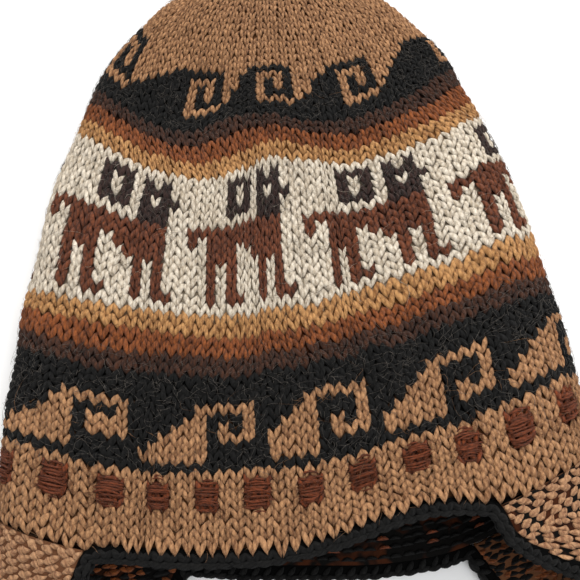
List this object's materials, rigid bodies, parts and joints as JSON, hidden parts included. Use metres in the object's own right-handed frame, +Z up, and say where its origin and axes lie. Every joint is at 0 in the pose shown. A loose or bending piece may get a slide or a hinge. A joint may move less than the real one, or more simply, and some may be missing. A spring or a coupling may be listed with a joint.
{
  "type": "knitted hat with ear flaps",
  "caption": "Knitted hat with ear flaps, lying flat on its back: a hollow tube closed at a rounded crown, two folded ear flaps and a crocheted edging along the whole rim.",
  "frame": {"origin": "middle of the hat's box on the plane it rests on", "axes": "+Y towards the crown, +Z up from the surface the back lies on, +X to the right of someone looking down on the front"},
  "size_m": [0.2529, 0.3538, 0.0445],
  "materials": {
    "camel_knit": "matte hand-knitted alpaca wool",
    "black_crochet": "matte crocheted alpaca wool"
  },
  "bodies": {
    "root": {"knit_body": "camel_knit", "ear_flap_left": "camel_knit", "ear_flap_right": "camel_knit", "crochet_edging": "black_crochet"}
  },
  "joints": []
}
